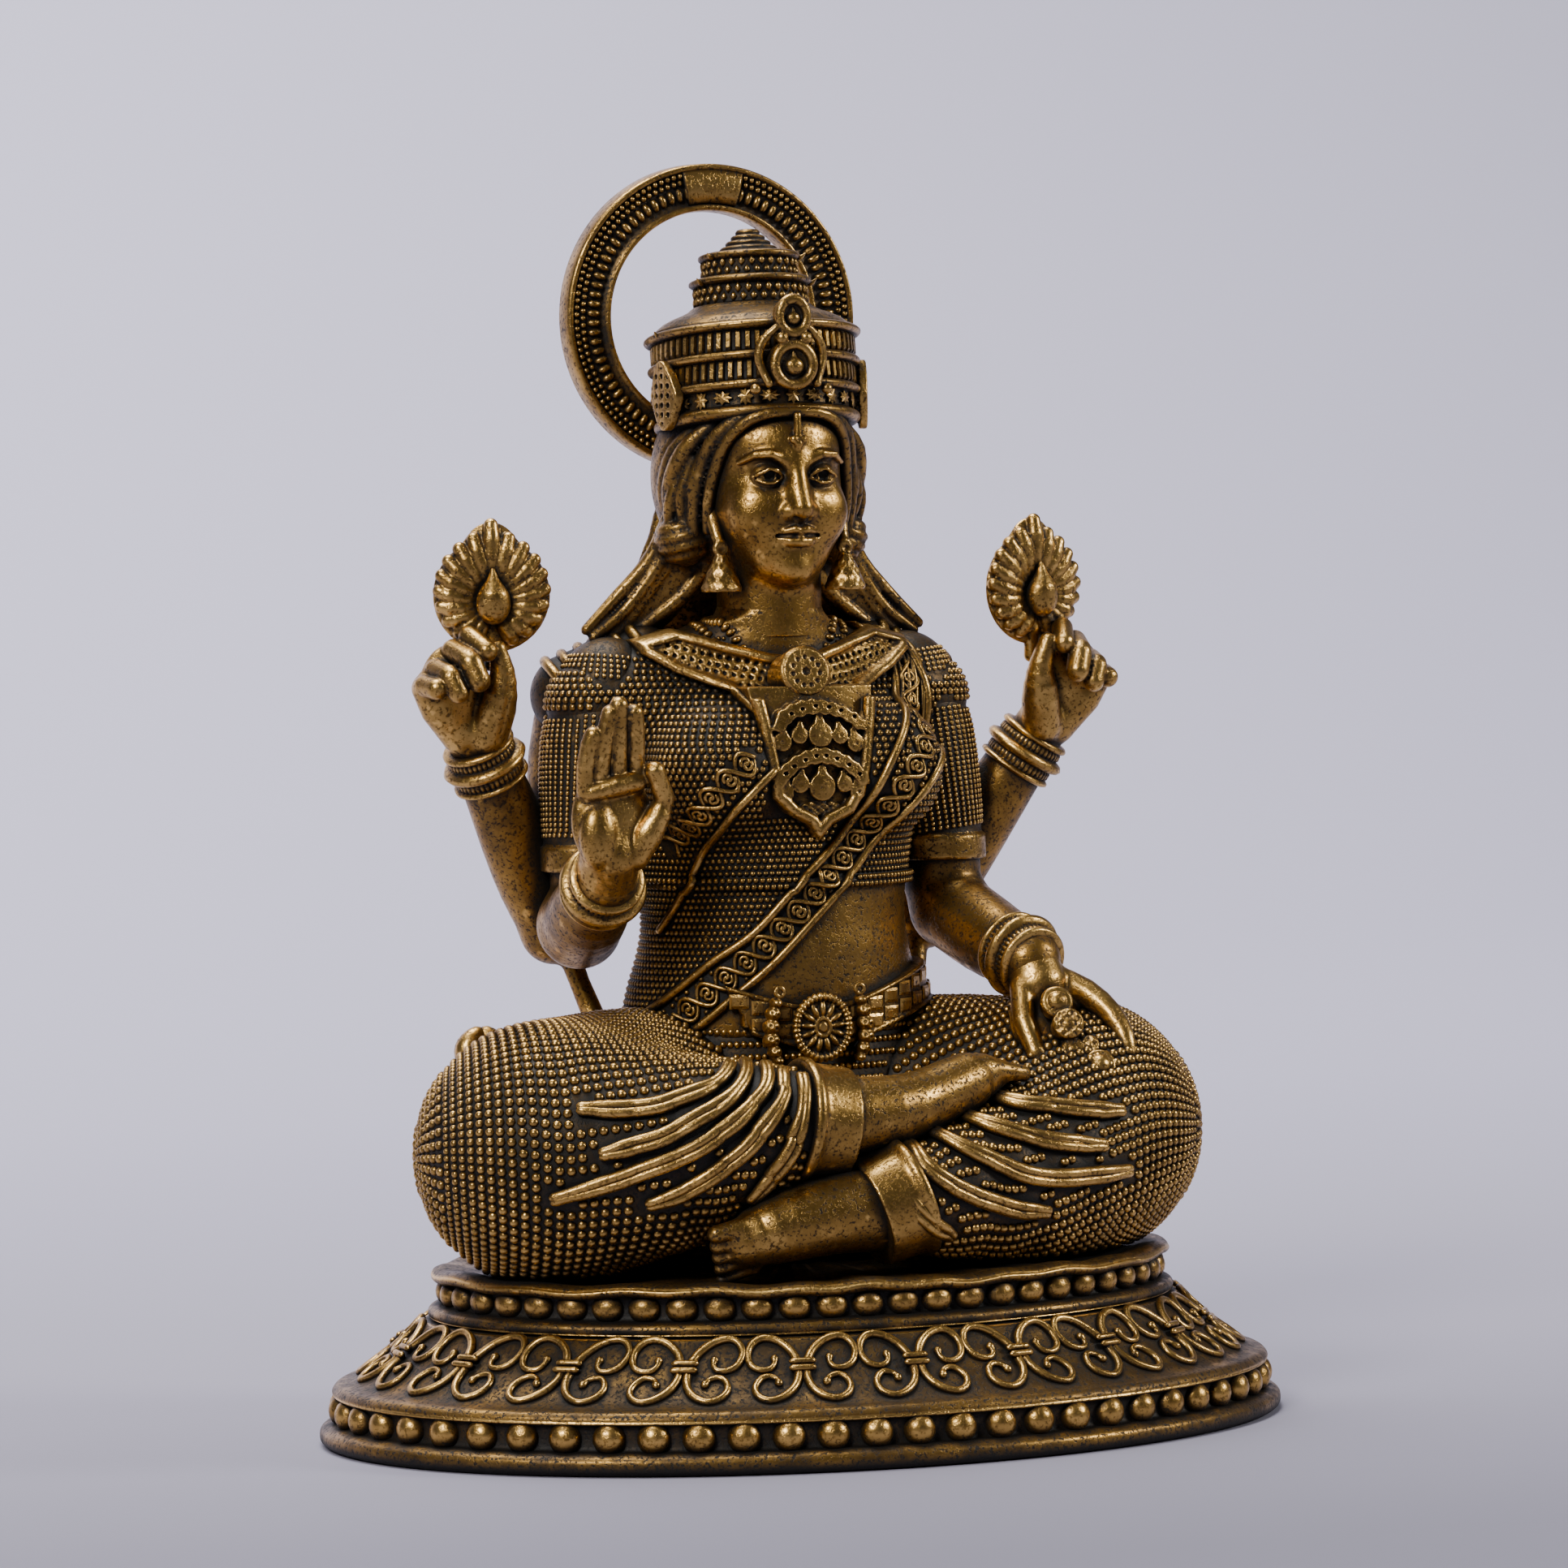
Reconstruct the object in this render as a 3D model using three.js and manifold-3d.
// Seated four-armed goddess statuette in antiqued brass, on an oval two-tier pedestal,
// as its separate castings.
// Millimetres, +Z up, the figure faces -Y, and the origin is the centre of the pedestal's flat foot.
// The figure's right side is at -X. Castings that meet keep a soldering gap between them.
import * as THREE from "three";
import { mergeVertices } from "three/addons/utils/BufferGeometryUtils.js";
import Module from "manifold-3d";

const wasm = await Module();
wasm.setup();

// ---- Driving dimensions ----
const GAP = 0.3; // clearance between two neighbouring castings

const FOOT_HALF_WIDTH = 38.5; // pedestal, along X
const FOOT_HALF_DEPTH = 27.5; // pedestal, along Y
const DEPTH_SHARE = 0.81; // how much a step in along X also steps in along Y
const SKIRT_HEIGHT = 9.6; // foot to the top of the flared skirt
const SKIRT_TOP_INSET = 8.9; // how far the skirt's top steps in from the foot
const PLINTH_HEIGHT = 3.8; // the upper drum
const PLINTH_INSET = 9.1;
const GROOVE_DEPTH = 1.4; // the groove that a bead band lies in
const LOWER_BEADS = 60;
const UPPER_BEADS = 54;
const LOWER_BEAD_RADIUS = 1.0;
const UPPER_BEAD_RADIUS = 0.85;
const SEAT_Z = SKIRT_HEIGHT + PLINTH_HEIGHT; // top of the pedestal, where the figure sits

const FIGURE_Y = 6; // the torso's axis, behind the pedestal's centre
const HIP_TOP = SEAT_Z + 16.6; // where the hips meet the torso
const KNEE_HALF_SPAN = 32.4; // axis to the outside of a knee
const KNEE_RADIUS = 8.8;
const ANKLE_RADIUS = 3.6;
const WAIST_HALF_WIDTH = 10.5;
const CHEST_HALF_WIDTH = 13.4;
const SHOULDER_HALF_SPAN = 17.8; // axis to the outside of a sleeve
const SLEEVE_RADIUS = 3.5;
const FOREARM_RADIUS = 2.9;
const WRIST_RADIUS = 2.35;
const FINGER_RADIUS = 0.8;
const BANGLE_WALL = 0.55;
const BANGLE_LENGTH = 2.6;
const NECK_RADIUS = 3.9;
const FACE_HALF_WIDTH = 5.4;

const CROWN_RADIUS = 8.5;
const CROWN_Z = SEAT_Z + 64.2; // lower edge of the crown's band
const CROWN_BAND_HEIGHT = 6.6;
const HALO_RADIUS = 12.2;
const HALO_BORE_RADIUS = 8.4;
const HALO_THICKNESS = 2.9;
const LOTUS_HALF_WIDTH = 4.55;
const LOTUS_HEIGHT = 10;
const LOTUS_THICKNESS = 1.3;
const LOTUS_TURN = 14; // degrees that each lotus faces outwards
const LOTUS_SPAN = 22.8; // axis to the centre of a raised lotus
const PETALS = 17;
const COIN_RADIUS = 1.45;

// ---- Metal ----
const METALNESS = 0.95;
const brass = new THREE.MeshStandardMaterial({ color: 0xb08a3e, roughness: 0.38, metalness: METALNESS });
const darkBrass = new THREE.MeshStandardMaterial({
  color: 0x7a5a28,
  roughness: 0.5,
  metalness: METALNESS,
});
const brightBrass = new THREE.MeshStandardMaterial({
  color: 0xc89c4a,
  roughness: 0.32,
  metalness: METALNESS,
});

// ---- Solids ----
// A closed three.js geometry as a solid that can be joined and cut.
function solid(geometry) {
  const bare = geometry.clone();
  bare.deleteAttribute("normal");
  bare.deleteAttribute("uv");
  const merged = mergeVertices(bare, 1e-4);
  return new wasm.Manifold(
    new wasm.Mesh({
      numProp: 3,
      vertProperties: new Float32Array(merged.attributes.position.array),
      triVerts: new Uint32Array(merged.index.array),
    }),
  );
}

const joined = (...parts) => parts.reduce((all, part) => all.add(part));
const above = (made, z) => made.trimByPlane([0, 0, 1], z);
const below = (made, z) => made.trimByPlane([0, 0, -1], -z);

// A rounded limb through stations [x, y, z, half width, half depth], from a capsule bent along them.
// across is the direction that the half width is measured in.
function limb(stations, { grow = 0, across = [1, 0, 0], sides = 10, steps = 5, cap = 2 } = {}) {
  const curve = new THREE.CatmullRomCurve3(stations.map((s) => new THREE.Vector3(s[0], s[1], s[2])));
  const sizes = new THREE.CatmullRomCurve3(stations.map((s) => new THREE.Vector3(s[3], s[4], 0)));
  const geometry = new THREE.CapsuleGeometry(1, 1, cap, sides, steps);
  const position = geometry.attributes.position;
  const point = new THREE.Vector3();
  for (let i = 0; i < position.count; i++) {
    point.fromBufferAttribute(position, i);
    const share = THREE.MathUtils.clamp(point.y + 0.5, 0, 1);
    const beyond = point.y + 0.5 - share;
    const size = sizes.getPoint(share);
    const along = curve.getTangent(share);
    const wide = new THREE.Vector3(...across);
    wide.addScaledVector(along, -along.dot(wide)).normalize();
    const deep = new THREE.Vector3().crossVectors(wide, along);
    const made = curve.getPoint(share)
      .addScaledVector(wide, point.x * (size.x + grow))
      .addScaledVector(deep, point.z * (size.y + grow))
      .addScaledVector(along, beyond * (Math.min(size.x, size.y) + grow));
    position.setXYZ(i, made.x, made.y, made.z);
  }
  return solid(geometry);
}

// A prism with an outline in X and Z, between two depths in Y.
function prism(shape, front, back, curveSegments = 6) {
  const settings = { depth: back - front, bevelEnabled: false, curveSegments };
  const geometry = new THREE.ExtrudeGeometry(shape, settings);
  geometry.rotateX(Math.PI / 2);
  geometry.translate(0, back, 0);
  return solid(geometry);
}

// A turned piece from a profile [radius, height] along +Z.
function turned(profile, segments = 28) {
  const geometry = new THREE.LatheGeometry(profile.map(([r, z]) => new THREE.Vector2(r, z)), segments);
  geometry.rotateX(Math.PI / 2);
  return solid(geometry);
}

// A turned piece about the line from one point towards another.
function turnedAlong(profile, from, towards, segments = 16) {
  const start = new THREE.Vector3(...from);
  const way = new THREE.Vector3(...towards).sub(start).normalize();
  const geometry = new THREE.LatheGeometry(profile.map(([r, z]) => new THREE.Vector2(r, z)), segments);
  geometry.applyQuaternion(new THREE.Quaternion().setFromUnitVectors(new THREE.Vector3(0, 1, 0), way));
  geometry.translate(start.x, start.y, start.z);
  return solid(geometry);
}

// ---- Placing ----
const statue = new THREE.Group();

// Every casting placed so far, as the function that makes it grown all round by a clearance.
const placed = [];

const boxesMeet = (a, b) => [0, 1, 2].every((i) => a.min[i] < b.max[i] && b.min[i] < a.max[i]);

// Places a casting as one named mesh. make(grow) gives its solid, grown all round by grow. It is
// cut back, with a soldering gap, wherever it meets a casting placed before it, and loses the
// crumbs that such a cut leaves.
function place(name, make, material = brass) {
  let made = make(0);
  for (const earlier of placed) {
    const cutter = earlier(GAP);
    if (boxesMeet(cutter.boundingBox(), made.boundingBox())) made = made.subtract(cutter);
  }
  placed.push(make);
  const [main] = made.decompose().sort((a, b) => b.volume() - a.volume());
  const { vertProperties, triVerts } = main.getMesh();
  const geometry = new THREE.BufferGeometry();
  geometry.setAttribute("position", new THREE.BufferAttribute(vertProperties, 3));
  geometry.setIndex(new THREE.BufferAttribute(triVerts, 1));
  geometry.computeVertexNormals();
  const mesh = new THREE.Mesh(geometry, material);
  mesh.name = name;
  statue.add(mesh);
}

const SIDES = [
  [-1, "right"],
  [1, "left"],
];
const onSide = (side, [x, ...rest]) => [side * x, ...rest];

// ---- Pedestal ----
const depthAt = (halfWidth) => FOOT_HALF_DEPTH - (FOOT_HALF_WIDTH - halfWidth) * DEPTH_SHARE;

// A turned profile [half width, z] whose rings are ovals, stepping in by nearly the same amount
// all round.
function oval(profile, segments = 44) {
  const geometry = new THREE.LatheGeometry(profile.map(([r, z]) => new THREE.Vector2(r, z)), segments);
  geometry.rotateX(Math.PI / 2);
  const position = geometry.attributes.position;
  for (let i = 0; i < position.count; i++) {
    const halfWidth = Math.hypot(position.getX(i), position.getY(i));
    if (halfWidth > 1e-6) position.setY(i, (position.getY(i) / halfWidth) * depthAt(halfWidth));
  }
  return solid(geometry);
}

const ovalSlab = (halfWidth, low, high) =>
  oval([
    [0, low],
    [halfWidth, low],
    [halfWidth, high],
    [0, high],
  ]);

// A strip with a row of beads round an oval drum, in a groove of that drum's own making: grown, it
// also fills the room in front of it, so that the drum opens towards the beads.
const BAND_WALL = 0.6;
const beadBand = (halfWidth, z, beadRadius, count) => (grow) => {
  const inner = halfWidth - GROOVE_DEPTH + GAP;
  const outer = inner + BAND_WALL;
  const halfHeight = beadRadius + 0.1 + grow;
  const hollow = ovalSlab(inner - grow, z - 2 * halfHeight, z + 2 * halfHeight);
  if (grow) return ovalSlab(outer + 2 * GROOVE_DEPTH, z - halfHeight, z + halfHeight).subtract(hollow);
  const beads = Array.from({ length: count }, (_, i) => {
    const turn = ((i + 0.5) / count) * 2 * Math.PI;
    const bead = new THREE.OctahedronGeometry(beadRadius);
    bead.rotateZ(turn);
    bead.translate(outer * Math.cos(turn), depthAt(outer) * Math.sin(turn), z);
    return solid(bead);
  });
  return joined(ovalSlab(outer, z - halfHeight, z + halfHeight), ...beads).subtract(hollow);
};

const LOWER_BAND_Z = 2.75;
const UPPER_BAND_Z = SKIRT_HEIGHT + 1.75;
const skirtTop = FOOT_HALF_WIDTH - SKIRT_TOP_INSET;
const plinth = FOOT_HALF_WIDTH - PLINTH_INSET;
const lowerBand = beadBand(FOOT_HALF_WIDTH - 0.8, LOWER_BAND_Z, LOWER_BEAD_RADIUS, LOWER_BEADS);
const upperBand = beadBand(plinth, UPPER_BAND_Z, UPPER_BEAD_RADIUS, UPPER_BEADS);
place("lower_bead_band", lowerBand, brightBrass);
place("upper_bead_band", upperBand, brightBrass);

const skirt = (grow) =>
  oval([
    [0, 0],
    [FOOT_HALF_WIDTH - 0.6, 0],
    [FOOT_HALF_WIDTH, 0.6],
    [FOOT_HALF_WIDTH, 1.4],
    [FOOT_HALF_WIDTH - 1.3, LOWER_BAND_Z + LOWER_BEAD_RADIUS],
    [FOOT_HALF_WIDTH - 1.4, 4.7],
    [FOOT_HALF_WIDTH - 2.4, 5.0],
    [skirtTop + 0.9, SKIRT_HEIGHT - 0.9 + grow],
    [skirtTop, SKIRT_HEIGHT - GAP + grow],
    [0, SKIRT_HEIGHT - GAP + grow],
  ]);
place("pedestal_skirt", skirt);

const plinthDrum = (grow) =>
  oval([
    [0, SKIRT_HEIGHT - grow],
    [plinth - 0.2, SKIRT_HEIGHT - grow],
    [plinth, UPPER_BAND_Z],
    [plinth, SEAT_Z - 0.3 + grow],
    [plinth - 0.5, SEAT_Z + grow],
    [0, SEAT_Z + grow],
  ]);
place("pedestal_plinth", plinthDrum);

// ---- Hips, torso, head ----
const hips = (grow) =>
  below(
    limb(
      [
        [0, FIGURE_Y + 1, SEAT_Z + 2, 15, 12],
        [0, FIGURE_Y, SEAT_Z + 10.6, 14.5, 11.5],
        [0, FIGURE_Y, HIP_TOP, 12.4, 9.4],
      ],
      { grow, sides: 18, steps: 4 },
    ),
    HIP_TOP + grow,
  );
place("hips", hips);

const torso = (grow) =>
  above(
    limb(
      [
        [0, FIGURE_Y - 0.2, HIP_TOP + 2, 12.1, 9.2],
        [0, FIGURE_Y - 0.8, HIP_TOP + 8.5, WAIST_HALF_WIDTH, 8.9],
        [0, FIGURE_Y - 0.8, HIP_TOP + 16, CHEST_HALF_WIDTH - 1.6, 9.3],
        [0, FIGURE_Y - 0.4, HIP_TOP + 21.5, CHEST_HALF_WIDTH, 9.6],
        [0, FIGURE_Y + 1.2, HIP_TOP + 26.5, CHEST_HALF_WIDTH + 0.2, 6.6],
      ],
      { grow, sides: 20, steps: 8 },
    ),
    HIP_TOP + GAP - grow,
  );
place("torso", torso);

const CHIN_Z = CROWN_Z - 12.4;
const head = (grow) =>
  below(
    joined(
      limb(
        [
          [0, FIGURE_Y - 0.6, CHIN_Z - 5, NECK_RADIUS, NECK_RADIUS],
          [0, FIGURE_Y - 1.2, CHIN_Z, NECK_RADIUS, NECK_RADIUS],
        ],
        { grow, sides: 14, steps: 1 },
      ),
      limb(
        [
          [0, FIGURE_Y - 3.1, CHIN_Z + 1.8, 3.4, 3.2],
          [0, FIGURE_Y - 2, CHIN_Z + 4.8, FACE_HALF_WIDTH - 0.3, 5],
          [0, FIGURE_Y - 1.4, CHIN_Z + 8.8, FACE_HALF_WIDTH, 5.6],
          [0, FIGURE_Y - 0.6, CHIN_Z + 11.8, FACE_HALF_WIDTH, 5.8],
        ],
        { grow, sides: 16, steps: 5 },
      ),
      limb(
        [
          [0, FIGURE_Y - 6.6, CHIN_Z + 9.4, 0.5, 0.6],
          [0, FIGURE_Y - 7, CHIN_Z + 5.6, 0.9, 0.7],
        ],
        { grow, sides: 8, steps: 1 },
      ),
    ),
    CROWN_Z - GAP + grow,
  );
place("head", head);

// ---- Crossed legs ----
const kneeX = KNEE_HALF_SPAN - KNEE_RADIUS;
const KNEE_Y = -3.5;
const KNEE_Z = SEAT_Z + 9.8;
const ALONG_LEG = { across: [0, 0, 1], sides: 14, steps: 4 };
// The figure's right shin lies over the left one, so its ankle is the higher: [x, y, z] by side.
const ANKLES = { right: [-4.8, -14, SEAT_Z + 11.2], left: [0.4, -15.6, SEAT_Z + 4.9] };
const leg = (side, [x, y, z]) => (grow) =>
  joined(
    limb(
      [
        [side * 9, FIGURE_Y - 2, KNEE_Z + 0.2, KNEE_RADIUS - 0.4, KNEE_RADIUS - 0.4],
        [side * 16, 0.5, KNEE_Z + 0.4, KNEE_RADIUS, KNEE_RADIUS],
        [side * kneeX, KNEE_Y, KNEE_Z, KNEE_RADIUS, KNEE_RADIUS],
      ],
      { grow, ...ALONG_LEG },
    ),
    limb(
      [
        [side * (kneeX - 1), KNEE_Y - 2.4, KNEE_Z - 0.6, KNEE_RADIUS - 0.9, KNEE_RADIUS - 0.9],
        [side * 14.5, (KNEE_Y + y) / 2 - 1.4, (KNEE_Z + z) / 2 - 0.6, 6.6, 6.4],
        [x + side * 2.6, y, z, ANKLE_RADIUS + 0.3, ANKLE_RADIUS + 0.3],
      ],
      { grow, ...ALONG_LEG },
    ),
  );
for (const [side, name] of SIDES) place(`${name}_leg`, leg(side, ANKLES[name]));

const CUFF_WIDTH = 3.2;
const CUFF_DROP = { right: 0, left: 1.1 };
const cuff = ([x, y, z], drop) => (grow) => {
  const radius = ANKLE_RADIUS + 0.7 + grow;
  const half = CUFF_WIDTH / 2 + grow;
  const disc = [[0, -half], [radius, -half], [radius, half], [0, half]];
  return turnedAlong(disc, [x, y, z], [x + 5, y, z - drop]);
};
for (const [, name] of SIDES) place(`${name}_cuff`, cuff(ANKLES[name], CUFF_DROP[name]), brightBrass);

const rightFoot = (grow) =>
  limb(
    [
      [-3.2, -14.2, SEAT_Z + 11.2, 2.4, 2.6],
      [1.5, -14.2, SEAT_Z + 11.5, 2.2, 2.3],
      [5.6, -12.7, SEAT_Z + 12.9, 2, 2.3],
      [9.2, -11.2, SEAT_Z + 13.9, 1.3, 2],
      [12.4, -10.4, SEAT_Z + 13.8, 0.7, 1.4],
    ],
    { grow, across: [0, 0, 1], sides: 12, steps: 8 },
  );
const leftFoot = (grow) =>
  limb(
    [
      [-1.4, -16, SEAT_Z + 5, 2.6, 2.6],
      [-6.5, -16.3, SEAT_Z + 4.5, 2.4, 2.5],
      [-10.2, -16.2, SEAT_Z + 3.6, 1.8, 2.3],
      [-12.6, -16, SEAT_Z + 2.6, 1.2, 1.9],
    ],
    { grow, across: [0, 0, 1], sides: 12, steps: 6 },
  );
place("right_foot", rightFoot);
place("left_foot", leftFoot);

// ---- Clothes and jewels over the torso ----
const BELT_Z = HIP_TOP + 0.6;
const BELT_HEIGHT = 3;
const BELT_THICKNESS = 0.9;
const belt = (grow) =>
  below(above(torso(GAP + BELT_THICKNESS + grow), BELT_Z - grow), BELT_Z + BELT_HEIGHT + grow);
place("belt", belt, brightBrass);

const BUCKLE_RADIUS = 2.6;
const BUCKLE_DEPTH = 1.6;
const BUCKLE_AT = [0, FIGURE_Y - 10.9, BELT_Z + BELT_HEIGHT / 2];
const buckle = (grow) => {
  const radius = BUCKLE_RADIUS + grow;
  const profile = [[0, -grow], [radius, -grow], [radius - 0.4, BUCKLE_DEPTH], [0, BUCKLE_DEPTH + grow]];
  return turnedAlong(profile, [0, BUCKLE_AT[1] + 1.2, BUCKLE_AT[2]], BUCKLE_AT);
};
place("belt_buckle", buckle, brightBrass);

// A collar that narrows to a pointed pendant, on the front of the body.
const FRONT_OF_BODY = FIGURE_Y - 18;
const MID_BODY_Y = FIGURE_Y + 1;
const ORNAMENT_HALF_WIDTH = 4.6;
const ORNAMENT_THICKNESS = 1;
const ornamentTop = HIP_TOP + 31;
const ornament = (grow) => {
  const shape = new THREE.Shape();
  const w = ORNAMENT_HALF_WIDTH + grow;
  shape.moveTo(-11.5 - grow, ornamentTop);
  shape.quadraticCurveTo(-9.5 - grow, ornamentTop - 5.6 - grow, -w, ornamentTop - 6.6 - grow);
  shape.lineTo(-w, ornamentTop - 12);
  shape.quadraticCurveTo(-w + 1.2, ornamentTop - 13.6 - grow, 0, ornamentTop - 15.6 - 1.4 * grow);
  shape.quadraticCurveTo(w - 1.2, ornamentTop - 13.6 - grow, w, ornamentTop - 12);
  shape.lineTo(w, ornamentTop - 6.6 - grow);
  shape.quadraticCurveTo(9.5 + grow, ornamentTop - 5.6 - grow, 11.5 + grow, ornamentTop);
  shape.closePath();
  return prism(shape, FRONT_OF_BODY, MID_BODY_Y + grow).intersect(torso(GAP + ORNAMENT_THICKNESS + grow));
};
place("breast_ornament", ornament, brightBrass);

const MEDALLION_RADIUS = 1.8;
const MEDALLION_Z = HIP_TOP + 26.6;
const medallion = (grow) => {
  const radius = MEDALLION_RADIUS + grow;
  const profile = [[0, 0], [radius, 0], [radius * 0.85, 2.4], [0, 2.4 + grow]];
  return turnedAlong(profile, [0, FIGURE_Y - 6, MEDALLION_Z], [0, FIGURE_Y - 9, MEDALLION_Z + 1.2]);
};
place("chest_medallion", medallion, brightBrass);

// The sash runs from the left shoulder down to the right hip.
const SASH_WIDTH = 6.4;
const SASH_THICKNESS = 0.7;
const SASH_TILT = THREE.MathUtils.degToRad(46);
const sash = (grow) => {
  const strip = new THREE.BoxGeometry(60, MID_BODY_Y - FRONT_OF_BODY + 2 * grow, SASH_WIDTH + 2 * grow);
  strip.rotateY(-SASH_TILT);
  strip.translate(3.6, (FRONT_OF_BODY + MID_BODY_Y) / 2, HIP_TOP + 13.4);
  return solid(strip).intersect(torso(GAP + SASH_THICKNESS + grow));
};
place("sash", sash);

// ---- Front arms: a sleeve, a bare forearm, a bangle and a hand on each side ----
const sleeveX = SHOULDER_HALF_SPAN - SLEEVE_RADIUS;
const SLEEVE_HEM_Z = HIP_TOP + 13;
const sleeve = (side) => (grow) =>
  above(
    limb(
      [
        [side * (sleeveX - 1.2), FIGURE_Y + 1.4, SLEEVE_HEM_Z + 13.2, 4, 4.2],
        [side * (sleeveX - 0.2), FIGURE_Y + 1, SLEEVE_HEM_Z + 7, SLEEVE_RADIUS + 0.3, SLEEVE_RADIUS + 0.5],
        [side * sleeveX, FIGURE_Y + 0.6, SLEEVE_HEM_Z, SLEEVE_RADIUS, SLEEVE_RADIUS + 0.2],
      ],
      { grow, steps: 4 },
    ),
    SLEEVE_HEM_Z - grow,
  );

const FRONT_ARM = {
  right: { elbow: [-15.6, FIGURE_Y, HIP_TOP + 8.6], wrist: [-17, FIGURE_Y - 9.6, HIP_TOP + 12.6] },
  left: { elbow: [15, FIGURE_Y - 0.4, HIP_TOP + 8.6], wrist: [17.2, FIGURE_Y - 11.4, HIP_TOP + 5.2] },
};
const frontForearm = (side, { elbow, wrist }) => (grow) => {
  const middle = elbow.map((v, i) => (v + wrist[i]) / 2);
  return limb(
    [
      [side * (sleeveX + 0.4), FIGURE_Y + 0.6, SLEEVE_HEM_Z - 1, FOREARM_RADIUS, FOREARM_RADIUS],
      [...elbow, FOREARM_RADIUS + 0.2, FOREARM_RADIUS + 0.2],
      [...middle, FOREARM_RADIUS, FOREARM_RADIUS],
      [...wrist, WRIST_RADIUS, WRIST_RADIUS],
    ],
    { grow, steps: 7 },
  );
};

// A ribbed bangle round the wrist end of a forearm. Its wrist passes through with the gap that
// placing leaves.
const BANGLE_BACK = 2.4; // how far up the arm from the wrist it starts
const bangle = (elbow, wrist) => (grow) => {
  const end = new THREE.Vector3(...wrist);
  const start = end.clone().add(new THREE.Vector3(...elbow).sub(end).setLength(BANGLE_BACK + grow));
  const outer = WRIST_RADIUS + 2 * GAP + BANGLE_WALL + grow;
  const waist = outer - BANGLE_WALL / 2;
  const length = BANGLE_LENGTH + 2 * grow;
  const profile = [
    [0, 0],
    [outer, 0],
    [waist, length * 0.5],
    [outer, length],
    [0, length],
  ];
  return turnedAlong(profile, start.toArray(), wrist);
};

// A hand from stations for its palm and for each finger, all one casting.
function hand(palm, fingers, grow) {
  const flesh = fingers.map((points) =>
    limb(points.map((p) => [...p, FINGER_RADIUS, FINGER_RADIUS]), { grow, sides: 6, steps: 2, cap: 1 }),
  );
  return joined(limb(palm, { grow, steps: 3 }), ...flesh);
}
const FINGER_PITCH = 1.6;

// Offsets in these hands are from the wrist. The right hand is raised, palm forward, four fingers up.
const from = (origin, ...offsets) => offsets.map(([x, y, z, ...sizes]) =>
  [origin[0] + x, origin[1] + y, origin[2] + z, ...sizes]);
const raisedHand = (wrist) => (grow) => {
  const palm = from(
    wrist,
    [0.1, -1.4, 2.2, 2.5, 1.5],
    [0.2, -2, 4.6, 3.2, 1.5],
    [0.3, -2.3, 7, 3.1, 1.2],
  );
  const fingers = [
    [-1.5, 2.9],
    [-0.5, 4.6],
    [0.5, 5.3],
    [1.5, 4.5],
  ].map(([place, length]) => {
    const x = 0.3 + place * FINGER_PITCH;
    return from(wrist, [x, -2.3, 7.4], [x, -2.5, 7.8 + length / 2], [x - place * 0.3, -3, 8 + length]);
  });
  const thumb = from(wrist, [2.4, -2.4, 4], [3.6, -3, 6], [3.1, -3.4, 8.2]);
  return hand(palm, [...fingers, thumb], grow);
};

// The left hand is lowered over the knee, palm out.
const givingHand = (wrist) => (grow) => {
  const palm = from(
    wrist,
    [0.2, -2.2, -2.4, 2.2, 1.4],
    [0.7, -3.9, -4.8, 2.9, 1.4],
    [1.4, -5.5, -6.8, 2.8, 1.2],
  );
  const fingers = [-1.4, -0.45, 0.5, 1.4].map((place) =>
    from(
      wrist,
      [1.6 + place * FINGER_PITCH, -5.9, -6.8 + place * 0.5],
      [2.1 + place * 1.4, -7, -8.8 + place * 0.6],
      [2.6 + place * 1.2, -8, -10 + place * 0.8],
    ),
  );
  const thumb = from(wrist, [2.6, -3.1, -3.2], [4.8, -4.7, -4.2], [5.8, -6.3, -6.3]);
  return hand(palm, [...fingers, thumb], grow);
};
const FRONT_HAND = { right: raisedHand, left: givingHand };

for (const [side, name] of SIDES) {
  const { elbow, wrist } = FRONT_ARM[name];
  place(`front_${name}_sleeve`, sleeve(side));
  place(`front_${name}_forearm`, frontForearm(side, FRONT_ARM[name]));
  place(`front_${name}_bangle`, bangle(elbow, wrist), brightBrass);
  place(`front_${name}_hand`, FRONT_HAND[name](wrist), brightBrass);
}

// Coins run from the left palm over its fingers, cast in one overlapping row.
const COIN_THICKNESS = 0.9;
const COIN_LEAN = THREE.MathUtils.degToRad(-32);
const COIN_PLACES = [
  [1.2, -6, -3.4],
  [1.7, -6.9, -4.9],
  [2.3, -7.9, -6.4],
  [2.9, -8.9, -7.9],
];
const coins = (grow) =>
  joined(
    ...from(FRONT_ARM.left.wrist, ...COIN_PLACES).map(([x, y, z], i) => {
      const radius = COIN_RADIUS + grow;
      const coin = new THREE.CylinderGeometry(radius, radius, COIN_THICKNESS + 2 * grow, 14);
      coin.rotateX(COIN_LEAN - (i % 2) * 0.4);
      coin.translate(x, y, z);
      return solid(coin);
    }),
  );
place("coins", coins, brightBrass);

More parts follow.
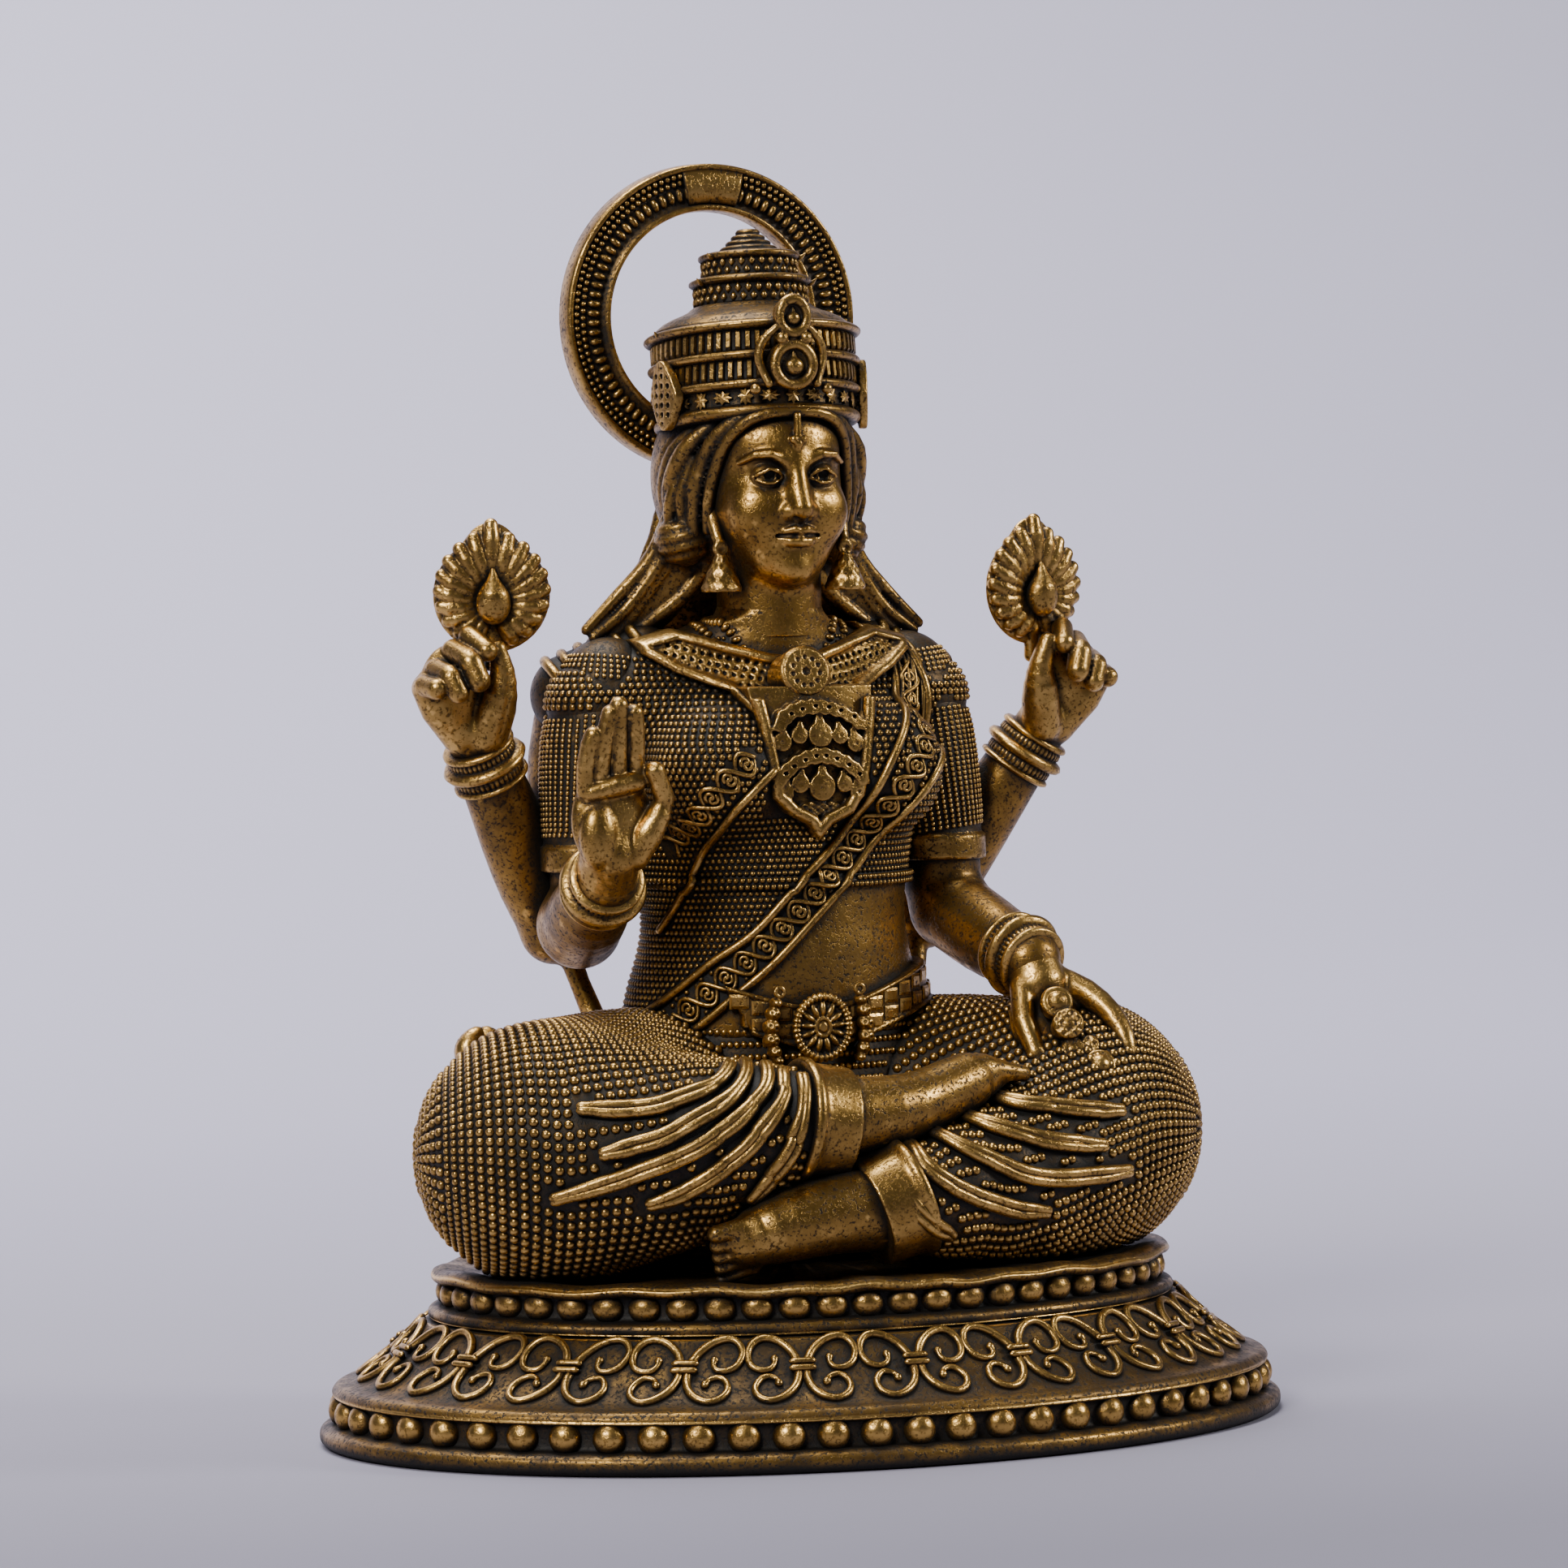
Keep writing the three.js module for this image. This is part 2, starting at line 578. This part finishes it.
// ---- Raised arms behind, each with a lotus ----
const REAR_ELBOW = [17.2, FIGURE_Y + 6.6, HIP_TOP + 9];
const REAR_WRIST = [LOTUS_SPAN, FIGURE_Y + 2, HIP_TOP + 22];
const rearUpperArm = (side) => (grow) =>
  limb(
    [
      [side * 13.2, FIGURE_Y + 6.4, HIP_TOP + 25, 3.4, 3.4],
      [side * 15.8, FIGURE_Y + 6.8, HIP_TOP + 17, 3, 3],
      [...onSide(side, REAR_ELBOW), 2.7, 2.7],
    ],
    { grow, steps: 4 },
  );
const rearForearm = (side) => (grow) =>
  limb(
    [
      [side * 18.6, FIGURE_Y + 5.7, HIP_TOP + 12.3, FOREARM_RADIUS - 0.1, FOREARM_RADIUS - 0.1],
      [side * 20.5, FIGURE_Y + 4, HIP_TOP + 16.8, FOREARM_RADIUS - 0.3, FOREARM_RADIUS - 0.3],
      [...onSide(side, REAR_WRIST), WRIST_RADIUS, WRIST_RADIUS],
    ],
    { grow, steps: 4 },
  );

// A fist with its fingers folded round the lotus stem. Its outward offsets are from the wrist.
const fist = (side) => (grow) => {
  const mirrored = (...offsets) => from(REAR_WRIST, ...offsets).map((p) => onSide(side, p));
  const palm = mirrored([1.4, -0.6, 1.6, 2.2, 1.7], [2.5, -0.8, 4, 2.7, 1.8], [2.8, -1, 5.8, 2.4, 1.6]);
  const folded = [
    [5.6, 4.6],
    [4.2, 5.9],
    [2.7, 7.1],
    [1.1, 8],
  ].map(([x, z]) => mirrored([x, -1.1, z], [x - 0.1, -2.6, z], [x - 0.5, -3.1, z - 1.7]));
  const thumb = mirrored([-0.2, -1.4, 2.6], [-0.6, -2, 5], [0, -2.2, 7]);
  return hand(palm, [...folded, thumb], grow);
};

// The lotus from in front: an oval with a scalloped edge of petals and a pointed one on top.
const LOTUS_Z = REAR_WRIST[2] + 12.3;
const LOTUS_FRONT = FIGURE_Y - 0.6;
const SCALLOP = 0.28;
const POINTED_PETAL = 0.9;
const POINTS_PER_PETAL = 3;
const lotusFlower = (side) => (grow) => {
  const shape = new THREE.Shape();
  const count = PETALS * POINTS_PER_PETAL;
  for (let i = 0; i < count; i++) {
    const turn = (i / count) * 2 * Math.PI;
    const fromTop = Math.atan2(Math.sin(turn), Math.cos(turn));
    const scallop = SCALLOP * Math.abs(Math.cos((PETALS * turn) / 2));
    const peak = POINTED_PETAL * Math.exp(-((fromTop / SCALLOP) ** 2));
    const x = (LOTUS_HALF_WIDTH - SCALLOP + scallop + grow) * Math.sin(turn);
    const z = (LOTUS_HEIGHT / 2 - SCALLOP - POINTED_PETAL / 2 + scallop + peak + grow) * Math.cos(turn);
    shape[i === 0 ? "moveTo" : "lineTo"](x, z - POINTED_PETAL / 2);
  }
  shape.closePath();
  const stemY = LOTUS_THICKNESS / 2;
  const stem = limb(
    [
      [-side * 0.2, stemY, -LOTUS_HEIGHT / 2 - 0.6, 0.6, 0.6],
      [-side * 0.1, stemY, -LOTUS_HEIGHT / 2 + 1, 0.6, 0.6],
    ],
    { grow, sides: 8, steps: 1 },
  );
  return prism(shape, -grow, LOTUS_THICKNESS + grow).add(stem)
    .rotate([0, 0, side * LOTUS_TURN]).translate([side * LOTUS_SPAN, LOTUS_FRONT, LOTUS_Z]);
};
const bud = (side) => (grow) =>
  limb(
    [
      [0, -0.7, -1.4, 1, 0.5],
      [0, -0.7, 0, 1.1, 0.5],
      [0, -0.6, 1.8, 0.45, 0.25],
    ],
    { grow, sides: 10, steps: 3 },
  )
    .rotate([0, 0, side * LOTUS_TURN])
    .translate([side * LOTUS_SPAN, LOTUS_FRONT, LOTUS_Z]);

for (const [side, name] of SIDES) {
  const elbow = onSide(side, REAR_ELBOW);
  const wrist = onSide(side, REAR_WRIST);
  place(`rear_${name}_upper_arm`, rearUpperArm(side));
  place(`rear_${name}_forearm`, rearForearm(side));
  place(`rear_${name}_bangle`, bangle(elbow, wrist), brightBrass);
  place(`rear_${name}_hand`, fist(side), brightBrass);
  place(`${name}_lotus`, lotusFlower(side), brightBrass);
  place(`${name}_lotus_bud`, bud(side), brightBrass);
}

// ---- Crown ----
const CROWN_Y = FIGURE_Y + 1.3;
const crownTop = CROWN_Z + CROWN_BAND_HEIGHT;
const crownBand = (grow) =>
  turned([
    [0, CROWN_Z - grow],
    [CROWN_RADIUS - 0.5 + grow, CROWN_Z - grow],
    [CROWN_RADIUS - 0.3 + grow, CROWN_Z + 1.6],
    [CROWN_RADIUS + grow, CROWN_Z + 2],
    [CROWN_RADIUS + grow, crownTop + grow],
    [0, crownTop + grow],
  ]).translate([0, CROWN_Y, 0]);
place("crown_band", crownBand, brightBrass);

// Two drums with overhanging rims and a finial, on a dome that closes the band.
const crownTiers = (grow) =>
  turned(
    [
      [0, crownTop + GAP - grow],
      [CROWN_RADIUS - 0.7 + grow, crownTop + GAP - grow],
      [6.2 + grow, crownTop + 1.8],
      [5 + grow, crownTop + 2.2],
      [5.1 + grow, crownTop + 3.8],
      [4 + grow, crownTop + 4.2],
      [4.1 + grow, crownTop + 5.8],
      [2.4 + grow, crownTop + 6.1],
      [1 + grow, crownTop + 8 + grow],
      [0, crownTop + 8 + grow],
    ],
    24,
  ).translate([0, CROWN_Y, 0]);
place("crown_tiers", crownTiers);

// The front jewel is a large disc with a smaller one above it.
const JEWEL_DEPTH = 1.6;
const JEWEL_RADII = [2.1, 1.5];
const JEWEL_HEIGHTS = [3.9, 7];
const jewel = (grow) => {
  const front = CROWN_Y - CROWN_RADIUS - GAP - JEWEL_DEPTH / 2;
  const discs = JEWEL_RADII.map((radius, i) => {
    const z = CROWN_Z + JEWEL_HEIGHTS[i];
    const r = radius + grow;
    const profile = [[0, -grow], [r, -grow], [r - 0.3, JEWEL_DEPTH], [0, JEWEL_DEPTH + grow]];
    return turnedAlong(profile, [0, front + JEWEL_DEPTH, z], [0, front, z]);
  });
  return joined(...discs);
};
place("crown_jewel", jewel, brightBrass);

// ---- Hair and ear ornaments ----
const HAIRLINE_Y = FIGURE_Y - 2.8;
const hair = (grow) =>
  below(
    limb(
      [
        [0, FIGURE_Y + 2.4, CHIN_Z + 1.3, 7, 4.2],
        [0, FIGURE_Y + 2.4, CHIN_Z + 5.8, 8.3, 5.6],
        [0, FIGURE_Y + 2.2, CHIN_Z + 10.8, 8.5, 6],
      ],
      { grow, sides: 16, steps: 4 },
    ),
    CROWN_Z - GAP + grow,
  ).trimByPlane([0, 1, 0], HAIRLINE_Y - grow);
place("hair", hair, darkBrass);

const hairFall = (grow) =>
  limb(
    [
      [0, FIGURE_Y + 8.4, CHIN_Z + 2.8, 6.6, 1.8],
      [0, FIGURE_Y + 9.6, CHIN_Z - 4.2, 8.6, 1.8],
      [0, FIGURE_Y + 10.6, CHIN_Z - 13.2, 7.6, 1.6],
      [0, FIGURE_Y + 10, CHIN_Z - 21.2, 5, 1.4],
    ],
    { grow, sides: 14, steps: 6 },
  );
place("hair_fall", hairFall, darkBrass);

const EARRING_X = FACE_HALF_WIDTH + 0.4;
const EARRING_TOP_Z = CHIN_Z + 2.6;
const earring = (side) => (grow) =>
  turned(
    [
      [0, -3.4 - grow],
      [1.35 + grow, -3.4 - grow],
      [1.1 + grow, -2.4],
      [0.55 + grow, -1.4],
      [0.5 + grow, 2.4 + grow],
      [0, 2.4 + grow],
    ],
    12,
  ).translate([side * EARRING_X, HAIRLINE_Y - 0.5, EARRING_TOP_Z]);
for (const [side, name] of SIDES) place(`${name}_earring`, earring(side), brightBrass);

// ---- Halo ring and the lug that carries it behind the head ----
const HALO_Y = FIGURE_Y + 11.6;
const HALO_Z = CROWN_Z + 8.2;
const haloRing = (grow) => {
  const half = HALO_THICKNESS / 2 + grow;
  const bore = HALO_BORE_RADIUS - grow;
  const outer = HALO_RADIUS + grow;
  const profile = [
    [bore, 0],
    [bore + 0.5, -half],
    [outer - 0.5, -half],
    [outer, 0],
    [outer - 0.5, half],
    [bore + 0.5, half],
    [bore, 0],
  ];
  return turnedAlong(profile, [0, HALO_Y, HALO_Z], [0, HALO_Y + 1, HALO_Z], 32);
};
place("halo_ring", haloRing);

const LUG_SIZE = [4, 6, 3.4];
const LUG_FRONT = FIGURE_Y + 6;
const lug = (grow) => {
  const [width, depth, height] = LUG_SIZE.map((v) => v + 2 * grow);
  const block = new THREE.BoxGeometry(width, depth, height);
  block.translate(0, LUG_FRONT + LUG_SIZE[1] / 2, HALO_Z - HALO_RADIUS + LUG_SIZE[2] / 2);
  return solid(block);
};
place("halo_lug", lug, darkBrass);

export default statue;
